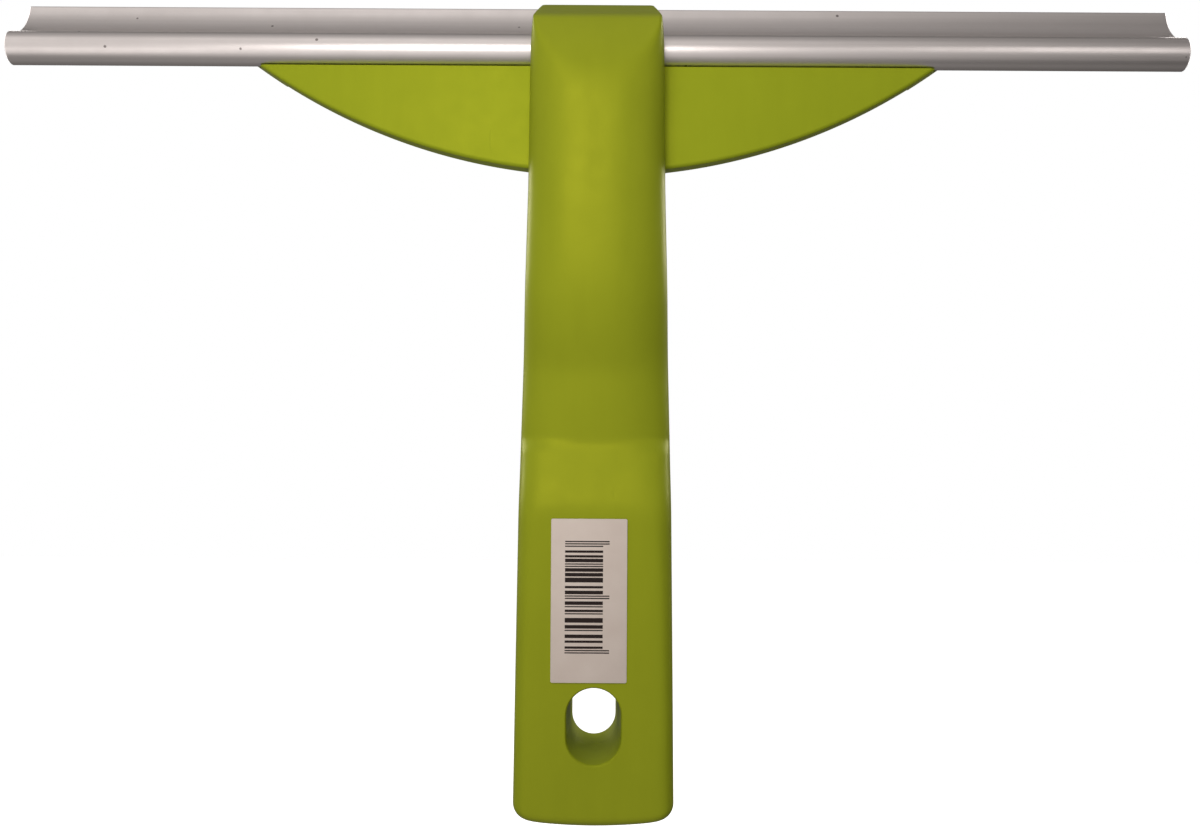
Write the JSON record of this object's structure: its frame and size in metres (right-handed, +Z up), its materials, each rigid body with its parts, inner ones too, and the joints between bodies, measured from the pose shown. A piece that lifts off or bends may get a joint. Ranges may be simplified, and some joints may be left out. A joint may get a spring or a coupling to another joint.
{
  "type": "window cleaning squeegee",
  "caption": "Hand squeegee with a hooked moulded handle, a curved aluminium channel, crescent support wings and a rubber blade that slides out.",
  "frame": {"origin": "the palm point: the middle of the grip's width and thickness, 57 mm above the handle's lower end", "axes": "+Z up the handle to the blade, X along the blade, -Y out of the handle's front, +Y towards the glass"},
  "size_m": [0.34, 0.0368, 0.2379],
  "materials": {
    "handle_plastic": "satin moulded lime green",
    "wing_plastic": "satin moulded lime green",
    "extruded_aluminium": "satin anodised, with fine lengthwise die lines",
    "blade_rubber": "matt black",
    "screw_steel": "zinc plated",
    "label_paper": "warm white coated paper"
  },
  "bodies": {
    "handle": {"front_shell": "handle_plastic", "rear_shell": "handle_plastic", "wing_bracket": "wing_plastic", "aluminium_channel": "extruded_aluminium", "clamp_screws": "screw_steel", "cover_screws": "screw_steel", "barcode_label": "label_paper"},
    "blade": {"rubber_blade": "blade_rubber"}
  },
  "joints": [
    {"name": "blade_slide", "type": "slide", "parent": "handle", "child": "blade", "axis": [1, 0, 0], "range_m": [-0.34, 0.34]}
  ]
}
